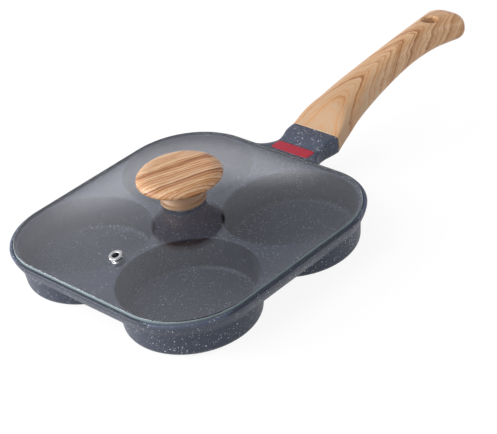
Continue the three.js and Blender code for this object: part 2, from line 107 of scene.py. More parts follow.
def skin(name, rings, closed=False, turn=None):  # a solid through rings of equally many points
    count, last = len(rings[0]), len(rings) - 1
    points = [point for ring in rings for point in ring]
    if turn:
        points = [turn @ point for point in points]
    faces = []
    for k in range(last + closed):
        low, high = k * count, (k + 1) % len(rings) * count
        for i in range(count):
            j = (i + 1) % count
            faces.append((low + i, low + j, high + j, high + i))
    if not closed:
        faces.append(tuple(range(count))[::-1])
        faces.append(tuple(range(last * count, (last + 1) * count)))
    mesh = bpy.data.meshes.new(name)
    mesh.from_pydata([point * mm + panMiddle for point in points], [], faces)
    shape = bmesh.new()
    shape.from_mesh(mesh)
    bmesh.ops.remove_doubles(shape, verts=shape.verts, dist=mergeWithin)
    bmesh.ops.dissolve_degenerate(shape, edges=shape.edges, dist=dropWithin)
    bmesh.ops.recalc_face_normals(shape, faces=shape.faces)
    shape.to_mesh(mesh)
    shape.free()
    return addObject(name, mesh)


def lathe(name, profile, steps, closed=False, turn=None):  # (radius, height) pairs, about Z
    return skin(name, [roundRing(max(radius, 0), height, steps) for radius, height in profile], closed, turn)


def rod(name, radius, bottom, top, steps, turn=None):
    return lathe(name, [(0, bottom), (radius, bottom), (radius, top), (0, top)], steps, turn=turn)


def settle(piece):  # modifiers become plain mesh
    evaluated = piece.evaluated_get(bpy.context.evaluated_depsgraph_get())
    made = bpy.data.meshes.new_from_object(evaluated)
    piece.modifiers.clear()
    piece.data = made
    return piece


def combine(piece, tool, operation):
    step = piece.modifiers.new(operation.lower(), "BOOLEAN")
    step.operation, step.solver, step.object = operation, "MANIFOLD", tool
    settle(piece)
    bpy.data.objects.remove(tool)
    return piece


def shade(piece, angle=32):  # smooth, with crisp edges where faces meet at more than the angle
    piece.data.shade_smooth()
    piece.data.set_sharp_from_angle(angle=math.radians(angle))
    step = piece.modifiers.new("normals", "WEIGHTED_NORMAL")
    step.keep_sharp = True
    return settle(piece)


def finishPiece(piece, material, body, slot, *nodes):
    piece.data.materials.clear()
    piece.data.materials.append(material)
    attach(piece, body)
    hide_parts(*nodes)
    print("made", piece.name, len(piece.data.polygons), "faces")
    return piece


# Small tools for nodes

def linear(code):  # an sRGB hex colour as linear RGBA
    shares = [int(code[i:i + 2], 16) / 255 for i in (1, 3, 5)]
    return [s / 12.92 if s <= 0.04045 else ((s + 0.055) / 1.055) ** 2.4 for s in shares] + [1]


def linkUp(tree, node, links):  # values, sockets or nodes by input; a node gives its first live output
    for key, value in links.items():
        if isinstance(value, bpy.types.Node):
            value = next(socket for socket in value.outputs if socket.enabled)
        if isinstance(value, bpy.types.NodeSocket):
            tree.links.new(value, node.inputs[key])
        else:
            node.inputs[key].default_value = value


def addNode(tree, kind, links=None, **settings):
    node = tree.nodes.new(kind)
    for name, value in settings.items():
        setattr(node, name, value)
    linkUp(tree, node, links or {})
    return node


def clearTree(owner):
    owner.use_nodes = True
    owner.node_tree.nodes.clear()
    return owner.node_tree


def newMaterial(name, values):
    material = bpy.data.materials.new(name)
    tree = clearTree(material)
    shader = addNode(tree, "ShaderNodeBsdfPrincipled", values)
    addNode(tree, "ShaderNodeOutputMaterial", {"Surface": shader})
    where = addNode(tree, "ShaderNodeTexCoord").outputs["Object"]
    return material, tree, shader, where


def newTree(name, **inputs):  # a Geometry Nodes tree with named inputs
    tree = bpy.data.node_groups.new(name, "GeometryNodeTree")
    for label, kind in inputs.items():
        tree.interface.new_socket(label, in_out="INPUT", socket_type="NodeSocket" + kind)
    tree.interface.new_socket("Shape", in_out="OUTPUT", socket_type="NodeSocketGeometry")
    return tree, addNode(tree, "NodeGroupInput").outputs


def closeTree(tree, shape, material):  # every tree ends in real geometry with a material on it
    whole = addNode(tree, "GeometryNodeRealizeInstances", {"Geometry": shape})
    painted = addNode(tree, "GeometryNodeSetMaterial", {"Geometry": whole, "Material": material})
    addNode(tree, "NodeGroupOutput", {"Shape": painted})


def grow(name, tree, values, mesh=None):  # runs a tree on a mesh and keeps the result as plain mesh
    piece = addObject(name, mesh or bpy.data.meshes.new(name))
    step = piece.modifiers.new(tree.name, "NODES")
    step.node_group = tree
    for item in tree.interface.items_tree:
        if item.in_out == "INPUT" and item.name in values:
            step[item.identifier] = values[item.name]
    return settle(piece)


# Materials

noiseSpan = {1: 0.3, 2: 0.7}  # most of a noise lies between these


def satin(tree, shader, noise, look, relief):  # gloss and fine relief from one noise
    low, high = look["roughness"]
    rough = addNode(tree, "ShaderNodeMapRange", {0: noise, **noiseSpan, 3: low, 4: high})
    bump = addNode(tree, "ShaderNodeBump",
                   {"Height": noise, "Strength": relief, "Distance": look["depth"] * mm})
    linkUp(tree, shader, {"Roughness": rough, "Normal": bump})


# PTFE coat sprayed over cast aluminium: satin, slightly pebbled, blue-grey with spattered pale flecks
graniteLook = {
    "shader": {"IOR": 1.38}, "base": "#434957", "dark": "#343946", "mottle": 1.3,
    "fleck": "#eceef0", "fleckSpacing": 1.45, "fleckSize": 0.92,
    "speck": "#a9aeb8", "speckSpacing": 0.95, "speckSize": 0.52,
    "sizeSpread": 1.2, "softEdge": 0.04, "wobble": 0.9, "shift": 0.25,
    "cluster": 13, "clusterSpan": (0.32, 0.68), "crowding": (0.75, 1.1),
    "pebble": 0.9, "relief": 0.6, "depth": 0.006, "roughness": (0.42, 0.52),
}


def graniteCoat(look):
    material, tree, shader, where = newMaterial("graniteNonstickCoat", look["shader"])
    crowd, mottle, pebble, wobble = (
        addNode(tree, "ShaderNodeTexNoise",
                {"Vector": where, "Scale": 1 / (look[size] * mm), "Detail": detail})
        for size, detail in (("cluster", 1), ("mottle", 3), ("pebble", 2), ("wobble", 2)))
    moved = addNode(tree, "ShaderNodeVectorMath",
                    {0: wobble.outputs["Color"], 1: (look["shift"] * mm,) * 3, 2: where},
                    operation="MULTIPLY_ADD")
    (thin, thick), (least, most) = look["clusterSpan"], look["crowding"]
    crowded = addNode(tree, "ShaderNodeMapRange", {0: crowd, 1: thin, 2: thick, 3: least, 4: most})
    colour = addNode(tree, "ShaderNodeMix", {0: mottle, 6: linear(look["dark"]), 7: linear(look["base"])},
                     data_type="RGBA")
    tone, share = (addNode(tree, "ShaderNodeAttribute", attribute_name=name).outputs["Fac"]
                   for name in ("paintedLightAndShade", "fleckShare"))
    # painted light and shade: the colour is scaled lighter on level faces inside and darker on the cup walls
    # and the rim
    colour = addNode(tree, "ShaderNodeVectorMath", {0: colour, "Scale": tone}, operation="SCALE")
    for kind in ("speck", "fleck"):
        spacing, size = look[kind + "Spacing"], look[kind + "Size"]
        cells = addNode(tree, "ShaderNodeTexVoronoi", {"Vector": moved, "Scale": 1 / (spacing * mm)})
        draw = addNode(tree, "ShaderNodeSeparateColor", {0: cells.outputs["Color"]})
        spread = addNode(tree, "ShaderNodeMath", {0: draw, 1: look["sizeSpread"]}, operation="POWER")
        sized = addNode(tree, "ShaderNodeMath", {0: spread, 1: crowded}, operation="MULTIPLY")
        reach = addNode(tree, "ShaderNodeMath", {0: sized, 1: size / 2 / spacing}, operation="MULTIPLY")
        inside = addNode(tree, "ShaderNodeMath", {0: reach, 1: cells.outputs["Distance"]},
                         operation="SUBTRACT")
        spot = addNode(tree, "ShaderNodeMapRange", {0: inside, 1: 0.0, 2: look["softEdge"], 4: share})
        colour = addNode(tree, "ShaderNodeMix", {0: spot, 6: colour, 7: linear(look[kind])}, data_type="RGBA")
    linkUp(tree, shader, {"Base Color": colour})
    satin(tree, shader, pebble, look, look["relief"])
    return material


# Phenolic moulding under a printed wood film: satin lacquer, nested growth lines that start sharp and fade
woodFinish = {
    "shader": {"IOR": 1.45}, "fibre": (10, 0.5, 0.5), "streak": (-0.12, 0.2), "roughness": (0.4, 0.52),
    "relief": 0.25, "depth": 0.02, "apexRound": 3.0, "rippleSize": 1.2, "faintest": 0.15,
    "profile": ((0.07, 1.0), (0.25, 0.42), (0.7, 0.04)),  # place across a growth line, and darkness there
}
gripGrain = {
    "name": "gripWoodFilm", "start": "#a99073", "pale": "#d0ab84", "warm": "#b28457", "dark": "#855330",
    "origin": (131, 0, 24.5), "turn": 0, "axisSide": 3.5, "axisTop": 10.7, "depthScale": 0.7, "tilt": 0.42,
    "hair": 1.1, "hairWeight": 0.4, "line": 2.9, "lineWeight": 0.85, "band": 9.5, "bandWeight": 0.85,
    "drift": (40, 12, 12), "driftSize": 9.0, "ripple": (9, 3, 3),
    "fadeBy": "along", "fade": (0, 80), "least": 0.6, "ground": (10, 110), "span": (170, 30),
    "follow": ((0, 0), (14, 6.7), (34, 13), (69, 19.6), (104, 23.9), (131, 24.8), (166, 22.3)),
}
knobGrain = {
    # start is greyer and darker than pale: painted shade on the neck and foot under the cap, placed by ground
    "name": "knobWoodFilm", "start": "#9b826a", "pale": "#cbad8b", "warm": "#ab7544", "dark": "#744526",
    "origin": (0, 0, 62), "turn": 29, "axisSide": -70.0, "axisTop": 75.0, "depthScale": 1.0, "tilt": 0.04,
    "hair": 1.0, "hairWeight": 0.7, "line": 2.3, "lineWeight": 1.0, "band": 7.5, "bandWeight": 0.85,
    "drift": (60, 16, 16), "driftSize": 7.0, "ripple": (18, 4, 4),
    "fadeBy": "level", "fade": (-9, -3), "least": 0.2, "ground": (-12, -3), "span": (1, 30),
    "follow": ((0, 0), (1, 0)),
}


def woodFilm(look):
    material, tree, shader, where = newMaterial(look["name"], look["shader"])
    turn = Matrix.Rotation(math.radians(look["turn"]), 3, "Z")
    middle = turn @ (Vector(look["origin"]) * mm + panMiddle) / mm
    local = addNode(tree, "ShaderNodeMapping", {"Vector": where, "Location": -middle, "Scale": (1 / mm,) * 3,
                                                "Rotation": turn.to_euler()})  # millimetres
    along, side, up = addNode(tree, "ShaderNodeSeparateXYZ", {0: local}).outputs
    length, height = look["span"]
    share = addNode(tree, "ShaderNodeMath", {0: along, 1: length}, operation="DIVIDE")
    rise = addNode(tree, "ShaderNodeFloatCurve", {1: share})  # the grain rises along this line
    points = rise.mapping.curves[0].points
    for point, (x, z) in zip(points, (look["follow"][0], look["follow"][-1])):
        point.location = (x / length, z / height)
    for x, z in look["follow"][1:-1]:
        points.new(x / length, z / height)
    rise.mapping.update()
    lifted = addNode(tree, "ShaderNodeMath", {0: rise, 1: height}, operation="MULTIPLY")
    level = addNode(tree, "ShaderNodeMath", {0: up, 1: lifted}, operation="SUBTRACT")
    grain = addNode(tree, "ShaderNodeCombineXYZ", {0: along, 1: side, 2: level})
    across = addNode(tree, "ShaderNodeMath", {0: side, 1: look["axisSide"]}, operation="ADD")
    below = addNode(tree, "ShaderNodeMath", {0: level, 1: look["axisTop"]}, operation="SUBTRACT")
    deep = addNode(tree, "ShaderNodeMath", {0: below, 1: look["depthScale"]}, operation="MULTIPLY")
    flat = addNode(tree, "ShaderNodeCombineXYZ", {0: look["apexRound"], 1: across, 2: deep})
    radius = addNode(tree, "ShaderNodeVectorMath", {0: flat}, operation="LENGTH").outputs["Value"]
    growth = addNode(tree, "ShaderNodeMath", {0: along, 1: look["tilt"], 2: radius}, operation="MULTIPLY_ADD")
    noises = {}
    for kind in ("drift", "ripple", "fibre"):
        stretched = addNode(tree, "ShaderNodeVectorMath", {0: grain, 1: look[kind]}, operation="DIVIDE")
        noises[kind] = addNode(tree, "ShaderNodeTexNoise", {"Vector": stretched, "Scale": 1.0, "Detail": 2})
    for kind in ("drift", "ripple"):
        growth = addNode(tree, "ShaderNodeMath", {0: noises[kind], 1: look[kind + "Size"], 2: growth},
                         operation="MULTIPLY_ADD")
    strength = 0.0
    for kind in ("hair", "line", "band"):
        rings = addNode(tree, "ShaderNodeMath", {0: growth, 1: look[kind]}, operation="DIVIDE")
        part = addNode(tree, "ShaderNodeMath", {0: rings}, operation="FRACT")
        profile = addNode(tree, "ShaderNodeValToRGB", {0: part})
        stops = profile.color_ramp.elements
        for stop in stops:
            stop.color = (0, 0, 0, 1)
        for position, darkness in look["profile"]:
            stops.new(position).color = (darkness,) * 3 + (1,)
        count = addNode(tree, "ShaderNodeMath", {0: rings}, operation="FLOOR")
        draw = addNode(tree, "ShaderNodeTexWhiteNoise", {"W": count}, noise_dimensions="1D")
        most = look[kind + "Weight"]
        weight = addNode(tree, "ShaderNodeMapRange",
                         {0: draw.outputs["Value"], 3: look["faintest"] * most, 4: most})
        strength = addNode(tree, "ShaderNodeMath", {0: profile, 1: weight, 2: strength},
                           operation="MULTIPLY_ADD")
    way = along if look["fadeBy"] == "along" else level
    (low, high), (first, last), (thin, thick) = look["fade"], look["ground"], look["streak"]
    fade = addNode(tree, "ShaderNodeMapRange", {0: way, 1: low, 2: high, 3: look["least"], 4: 1.0},
                   interpolation_type="SMOOTHSTEP")
    # the colour runs from start to pale: on the knob this is painted shade under the cap, on the grip it is
    # darker and greyer towards the lug
    turned = addNode(tree, "ShaderNodeMapRange", {0: way, 1: first, 2: last}, interpolation_type="SMOOTHSTEP")
    streak = addNode(tree, "ShaderNodeMapRange", {0: noises["fibre"], **noiseSpan, 3: thin, 4: thick})
    tone = addNode(tree, "ShaderNodeMath", {0: strength, 1: fade, 2: streak}, operation="MULTIPLY_ADD")
    colour = addNode(tree, "ShaderNodeMix", {0: turned, 6: linear(look["start"]), 7: linear(look["pale"])},
                     data_type="RGBA")
    for begin, end, name in ((0.0, 0.5, "warm"), (0.5, 1.0, "dark")):
        part = addNode(tree, "ShaderNodeMapRange", {0: tone, 1: begin, 2: end})
        colour = addNode(tree, "ShaderNodeMix", {0: part, 6: colour, 7: linear(look[name])}, data_type="RGBA")
    linkUp(tree, shader, {"Base Color": colour})
    satin(tree, shader, noises["fibre"], look, look["relief"])
    return material


# Soda-lime glass, toughened and polished: clear, with a green cast where light runs far inside it
glassLook = {
    "shader": {"Base Color": linear("#fdfdfe"), "Roughness": 0.0, "IOR": 1.5, "Transmission Weight": 1.0},
    "cast": "#8fc4b4", "castPerMetre": 4.0, "ripple": 38, "rippleDepth": 0.012,
}


def lidGlassMaterial(look):
    material, tree, shader, where = newMaterial("toughenedGlass", look["shader"])
    inside = addNode(tree, "ShaderNodeVolumeAbsorption",
                     {"Color": linear(look["cast"]), "Density": look["castPerMetre"]})
    linkUp(tree, tree.get_output_node("ALL"), {"Volume": inside})
    wave = addNode(tree, "ShaderNodeTexNoise",
                   {"Vector": where, "Scale": 1 / (look["ripple"] * mm), "Detail": 1})
    bump = addNode(tree, "ShaderNodeBump", {"Height": wave, "Distance": look["rippleDepth"] * mm})
    linkUp(tree, shader, {"Normal": bump})
    return material


# The ground edge of the glass: pale from its own frost, and painted lighter still, painted light for the
# light that runs inside the glass and leaves here as a pale green line
# Its grit is finer in life, and is drawn as coarse as it needs to show
edgeLook = {
    "shader": {"IOR": 1.5, "Roughness": 0.55, "Transmission Weight": 0.2},
    "pale": "#849396", "bright": "#96a6a9", "paintedShadeWithin": "#2c3135", "grit": 0.5,
}


def groundEdgeMaterial(look):
    material, tree, shader, where = newMaterial("groundGlassEdge", look["shader"])
    grit = addNode(tree, "ShaderNodeTexNoise", {"Vector": where, "Scale": 1 / (look["grit"] * mm)})
    # pale and bright: the frosted edge's own colour together with painted light
    tone = addNode(tree, "ShaderNodeMix", {0: grit, 6: linear(look["pale"]), 7: linear(look["bright"])},
                   data_type="RGBA")
    inside = addNode(tree, "ShaderNodeNewGeometry").outputs["Backfacing"]  # seen from within the glass the edge is painted dark: painted shade for the shaded pan rim
    # painted shade: a dark line where the shaded rim shows through the edge
    tone = addNode(tree, "ShaderNodeMix", {0: inside, 6: tone, 7: linear(look["paintedShadeWithin"])}, data_type="RGBA")
    linkUp(tree, shader, {"Base Color": tone})
    return material


# Rubbers and metals share one recipe, with one noise for colour and gloss
# Their grit is finer in life, and is drawn as coarse as it needs to show
plainRelief = 0.3  # strength of the relief that the grit gives
rubber, metal = {"IOR": 1.41}, {"Metallic": 1.0}
plainLooks = {
    "redSilicone": {  # moulded rubber: matt, deep red
        "shader": rubber, "pale": "#a2182d", "deep": "#931426", "grit": 0.8, "depth": 0.02,
        "roughness": (0.42, 0.56),
    },
    "clearSilicone": {  # moulded rubber: milky and dull
        "shader": rubber, "pale": "#d8d6d0", "deep": "#cbc9c2", "grit": 1.2, "depth": 0.02,
        "roughness": (0.45, 0.6),
    },
    "polishedSteel": {  # pressed and polished: mirrors the room
        "shader": metal, "pale": "#c6c6c4", "deep": "#b3b3b1", "grit": 0.6, "depth": 0.004,
        "roughness": (0.05, 0.12),
    },
    "zincPlatedSteel": {  # plated and left bright: grey and slightly cloudy
        "shader": metal, "pale": "#b9bcc0", "deep": "#a3a6a9", "grit": 0.7, "depth": 0.01,
        "roughness": (0.28, 0.45),
    },
    "turnedBrass": {  # turned on a lathe: warm, with a soft sheen
        "shader": metal, "pale": "#c9a456", "deep": "#b48d42", "grit": 0.5, "depth": 0.01,
        "roughness": (0.25, 0.4),
    },
}


def plainMaterial(name, look):
    material, tree, shader, where = newMaterial(name, look["shader"])
    grit = addNode(tree, "ShaderNodeTexNoise",
                   {"Vector": where, "Scale": 1 / (look["grit"] * mm), "Detail": 3})
    colour = addNode(tree, "ShaderNodeMix", {0: grit, 6: linear(look["deep"]), 7: linear(look["pale"])},
                     data_type="RGBA")
    linkUp(tree, shader, {"Base Color": colour})
    satin(tree, shader, grit, look, plainRelief)
    return material


granite = graniteCoat(graniteLook)
gripWood, knobWood = woodFilm({**woodFinish, **gripGrain}), woodFilm({**woodFinish, **knobGrain})
glass, groundEdge = lidGlassMaterial(glassLook), groundEdgeMaterial(edgeLook)
plain = {name: plainMaterial(name, look) for name, look in plainLooks.items()}
print("materials made")


# Pan body: four cups hung from one deck, a raised rim round it and a lug for the handle

cup = {
    "mouthRadius": 46.6, "mouthRound": 0.9, "ridge": 3.4, "collarRadius": 47.2, "shoulderRadius": 46.4,
    "baseRadius": 45.2, "baseFillet": 5, "floorFillet": 3, "floor": 4.2, "wall": 2.2,
    "baseRings": (12, 18, 24, 30, 36), "ringWidth": 1.6, "ringDepth": 0.35,
    "steps": 120, "filletSteps": 10, "ringSteps": 6,
}
tray = {
    "rim": 28.8, "lip": 2.4, "rimRound": 1.1, "footRound": 0.8, "innerRound": 0.6, "deckDrop": 2.6,
    "deckThickness": 3.8, "ledge": 2.7, "skirt": 12, "flare": 5, "bulge": 1.4, "skirtWall": 3.2,
    "deckFillet": 0.6, "webLength": 12,
    "flareSteps": 12, "footSteps": 6, "rimSteps": 8, "innerSteps": 6, "filletSteps": 5,
}
lug = {
    "length": 31, "waist": 37.4, "endWidth": 42.4, "endHeight": 15, "rootFillet": 18.5, "rootDrop": 0.3,
    "rootSink": 0.4, "flat": 11, "level": 23, "footRise": 0.2,  # rootSink is a share of the rim's lip
    "sharpness": 8, "endSharpness": 12, "footSharpness": 4.6, "steps": 26,
}
cupOffset = cup["mouthRadius"] + cup["ridge"] / 2
recessRadius = cup["mouthRadius"] + tray["ledge"]
recessHalf = cupOffset + recessRadius
panHalf, panCorner = recessHalf + tray["lip"], recessRadius + tray["lip"]
deckHeight, skirtFoot = tray["rim"] - tray["deckDrop"], tray["rim"] - tray["skirt"]
lugFace, lugBottom = panHalf + lug["length"], skirtFoot + lug["footRise"]
lugRootTop, lugEndTop = tray["rim"] - lug["rootDrop"], lugBottom + lug["endHeight"]
lugMiddle = (lugBottom + lugEndTop) / 2


def trayShape():
    foot = panHalf - tray["flare"]
    low, high, inner, fillet = tray["footRound"], tray["rimRound"], tray["innerRound"], tray["deckFillet"]
    middle = (panHalf - tray["flare"] / 2 + tray["bulge"], (skirtFoot + tray["rim"]) / 2)
    outside = bend((foot, skirtFoot + low), middle, (panHalf, tray["rim"] - high), tray["flareSteps"])
    profile = arc(foot - low, skirtFoot + low, low, -90, 0, tray["footSteps"]) + outside[1:-1]
    profile += arc(panHalf - high, tray["rim"] - high, high, 0, 90, tray["rimSteps"])
    profile += arc(recessHalf + inner, tray["rim"] - inner, inner, 90, 180, tray["innerSteps"])
    profile += arc(recessHalf - fillet, deckHeight + fillet, fillet, 0, -90, tray["filletSteps"])
    rings = [roundedRing((half, half), panCorner - (panHalf - half), z) for half, z in profile]
    return skin("panBody", rings)


def cupSkins():
    base, fillet, steps = cup["baseRadius"], cup["baseFillet"], cup["filletSteps"]
    outer = [(0, 0)]
    half, rise = cup["ringWidth"] / 2, 2 * cup["ringDepth"]
    for radius in cup["baseRings"]:
        outer += bend((radius - half, 0), (radius, rise), (radius + half, 0), cup["ringSteps"])
    outer += arc(base - fillet, fillet, fillet, -90, 0, steps)
    top = deckHeight - tray["deckThickness"] / 2
    outer += [(cup["shoulderRadius"], skirtFoot), (cup["collarRadius"], top), (0, top)]
    floor, fillet, mouth = cup["floor"], cup["floorFillet"], cup["mouthRadius"]
    inner = [(0, floor)] + arc(base - cup["wall"] - fillet, floor + fillet, fillet, -90, 0, steps)
    inner += [(cup["shoulderRadius"] - cup["wall"], skirtFoot)]
    inner += arc(mouth, deckHeight - cup["mouthRound"], cup["mouthRound"], 180, 90, steps)
    inner += [(mouth, tray["rim"] + beyond), (0, tray["rim"] + beyond)]
    return lathe("cupOutside", outer, cup["steps"]), lathe("cupInside", inner, cup["steps"])


def fourCupsTree():  # the same cup at the corners of a square
    tree, given = newTree("fourCups", Cup="Object", Pitch="Float", Coat="Material")
    corners = addNode(tree, "GeometryNodeMeshGrid", {"Size X": given["Pitch"], "Size Y": given["Pitch"],
                                                     "Vertices X": 2, "Vertices Y": 2})
    source = addNode(tree, "GeometryNodeObjectInfo", {"Object": given["Cup"]}).outputs["Geometry"]
    placed = addNode(tree, "GeometryNodeInstanceOnPoints", {"Points": corners, "Instance": source})
    closeTree(tree, placed, given["Coat"])
    return tree


def lugRing(distance, spread, lean=0.0):
    along = smooth(distance, lug["flat"], lug["length"])
    halfWidth = mix(lug["waist"], lug["endWidth"], along) / 2 + spread
    top = mix(lugRootTop, lugEndTop, smooth(distance, lug["flat"], lug["level"]))
    sharpness = mix(lug["sharpness"], lug["endSharpness"], along)
    ring = sectionRing(panHalf + distance, (top + lugBottom) / 2, halfWidth, (top - lugBottom) / 2, sharpness,
                       lug["footSharpness"])
    for point in ring:
        point.x -= lean * (tray["rim"] - point.z)
    return ring


def lugShape():
    lean, fillet, steps = tray["flare"] / tray["skirt"], lug["rootFillet"], lug["steps"]
    rings = [lugRing(-tray["lip"] * lug["rootSink"], fillet, lean)]
    for x, y in arc(fillet, fillet, fillet, 180, 270, steps):
        rings.append(lugRing(x, y, lean * max(0, 1 - x / fillet)))
    for i in range(1, steps + 1):
        rings.append(lugRing(mix(fillet, lug["length"], i / steps), 0))
    return skin("lug", rings)


# Grip: rings along one curve of distance from the lug, rise above its middle and half width

grip = {
    "stations": ((0, 0, 21.2), (14, 6.7, 20), (34, 13, 17.5), (69, 19.6, 13.4), (104, 23.9, 11),
                 (131, 24.8, 12.5), (153.6, 23.2, 17.2)),
    "tail": 12.6, "tailSharpness": 2.45, "tailTip": 1, "thickness": 21.4, "swell": 22, "square": 30,
    "topSharpness": 2.6, "underSharpness": 2.7, "gap": 0.3, "faceRound": 0.5,
    "holeRadius": 6.2, "holeRound": 1.6, "holeFromEnd": 28,
    "steps": 120, "tailSteps": 28, "faceSteps": 4, "points": 96, "holeSteps": 64, "holeRoundSteps": 8,
}
tongue = {"length": 27, "width": 18, "thickness": 7.2, "sharpness": 5, "root": 3, "fit": 0.3, "steps": 16,
          "points": 48}
gripLength = grip["stations"][-1][0]
gripEnd = lugFace + gripLength + grip["tail"]


def gripCurve(share):  # centripetal curve through the stations
    points = [Vector(station) for station in grip["stations"]]
    points = [2 * points[0] - points[1], *points, 2 * points[-1] - points[-2]]
    place = share * (len(points) - 3)
    k = min(int(place), len(points) - 4)
    t = place - k
    a, b, c, d = points[k:k + 4]
    before, here, after = (math.sqrt((q - p).length) for p, q in ((a, b), (b, c), (c, d)))
    leave = ((b - a) / before - (c - a) / (before + here) + (c - b) / here) * here
    arrive = ((c - b) / here - (d - b) / (here + after) + (d - c) / after) * here
    square, cube = 3 * (c - b) - 2 * leave - arrive, 2 * (b - c) + leave + arrive
    return b + leave * t + square * t ** 2 + cube * t ** 3


def gripAt(distance):  # height of the middle, half width, half height
    low, high = 0.0, 1.0
    for _ in range(searchSteps):
        middle = (low + high) / 2
        low, high = (middle, high) if gripCurve(middle).x < distance else (low, middle)
    point = gripCurve(low)
    swell = smooth(distance, 0, grip["swell"])
    return lugMiddle + point.y, point.z, mix(lug["endHeight"], grip["thickness"], swell) / 2


def tongueShape(fit):
    steps, sharpness = tongue["steps"], tongue["sharpness"]
    halfWidth, halfHeight = tongue["width"] / 2 + fit, tongue["thickness"] / 2 + fit
    rings = []
    for distance in [-tongue["root"]] + [(tongue["length"] + fit) * i / steps for i in range(steps + 1)]:
        height = gripAt(max(0, distance))[0]
        rings.append(sectionRing(lugFace + distance, height, halfWidth, halfHeight, sharpness, sharpness,
                                 tongue["points"]))
    return skin("tongue", rings)


gripScrew = {
    "distance": 12, "radius": 2.5, "headRadius": 4.4, "headHeight": 1.7, "reach": 5.5, "washerRadius": 4.4,
    "washerThickness": 0.7, "web": 1.3, "fit": 0.2, "stackGap": 0.1, "pitch": 0.8, "threadDepth": 0.35,
    "driveRadius": 2.3, "driveWidth": 0.9, "driveDepth": 1.0, "splitAngle": 12,
    "boreSteps": 32, "wellSteps": 48, "washerSteps": 60,
}
screwHeight = gripAt(gripScrew["distance"])[0]
screwSlope = (gripAt(gripScrew["distance"] + slopeStep)[0] - screwHeight) / slopeStep
screwTilt = -math.atan(screwSlope)
screwFrame = Matrix.Translation((lugFace + gripScrew["distance"], 0, screwHeight))
screwFrame = screwFrame @ Matrix.Rotation(screwTilt, 4, "Y")
tongueUnder = -tongue["thickness"] / 2 * math.cos(screwTilt)
gripUnder = -gripAt(gripScrew["distance"])[2] * math.cos(screwTilt)
washerSeat = tongueUnder - tongue["fit"] - gripScrew["web"]

inset = {
    "width": 10, "length": 34, "corner": 2.4, "leastCorner": 0.2, "depth": 1.8, "proud": 0.3, "fromRim": 1.3,
    "fit": 0.15, "edge": 0.5, "crown": 0.15, "crownRings": (0.35, 0.65, 0.85), "crownReach": 0.42,
    "cornerSteps": 10, "edgeSteps": 6,
}
insetCentre = panHalf + inset["fromRim"] + inset["width"] / 2
insetFloor = lugRootTop - inset["depth"]


def insetRing(outset, height):
    halves = (inset["width"] / 2 + outset, inset["length"] / 2 + outset)
    corner = max(inset["corner"] + outset, inset["leastCorner"])
    return roundedRing(halves, corner, height, insetCentre, inset["cornerSteps"])


# Painted light and shade against the coat outside: level faces inside are painted lighter, as if lit from
# above, and the cup walls and the rim darker, as if in shade; and how strongly the flecks show, fainter where
# the shade is painted
paintedCoatLight = {
    "deck": 1.55, "floor": 1.22, "wall": 0.78, "rim": 0.7, "rimFrom": 2.0, "rimTo": 0.6,
    "fleckOnWall": 0.22, "fleckOnLevel": 0.55, "fleckOutside": 0.75,
}


def paintCoatLight(body):  # painted light on the level faces inside, painted shade on the rim and the cup walls, with fainter flecks there
    floor, fillet, mouth = cup["floor"], cup["floorFillet"], deckHeight - cup["mouthRound"]
    rimLow, rimHigh = tray["rim"] - paintedCoatLight["rimFrom"], tray["rim"] - paintedCoatLight["rimTo"]
    paintedTones, shares = [], []
    for vertex in body.data.vertices:
        place = (vertex.co - panMiddle) / mm
        x, y, z = abs(place.x), abs(place.y), place.z
        limit = mix(cup["baseRadius"], cup["collarRadius"], z / deckHeight) - cup["wall"] / 2
        if z > mouth - slopeStep:
            limit = cup["mouthRadius"] + slopeStep
        inCup = z > floor / 2 and math.hypot(x - cupOffset, y - cupOffset) < limit
        onDeck = z > deckHeight - slopeStep and max(x, y) < recessHalf + slopeStep
        if inCup or onDeck:
            tone = mix(paintedCoatLight["floor"], paintedCoatLight["wall"], smooth(z, floor, floor + fillet))
            tone = mix(tone, paintedCoatLight["deck"], smooth(z, mouth, deckHeight))
            level = max(smooth(z, floor + fillet, floor), smooth(z, mouth, deckHeight))
            share = mix(paintedCoatLight["fleckOnWall"], paintedCoatLight["fleckOnLevel"], level)
        else:
            onRim = smooth(z, rimLow, rimHigh) * (x < panHalf + slopeStep)
            tone = mix(1.0, paintedCoatLight["rim"], onRim)
            share = mix(paintedCoatLight["fleckOutside"], paintedCoatLight["fleckOnWall"], onRim)
        paintedTones.append(tone)
        shares.append(share)
    for name, values in (("paintedLightAndShade", paintedTones), ("fleckShare", shares)):
        body.data.attributes.new(name, "FLOAT", "POINT").data.foreach_set("value", values)


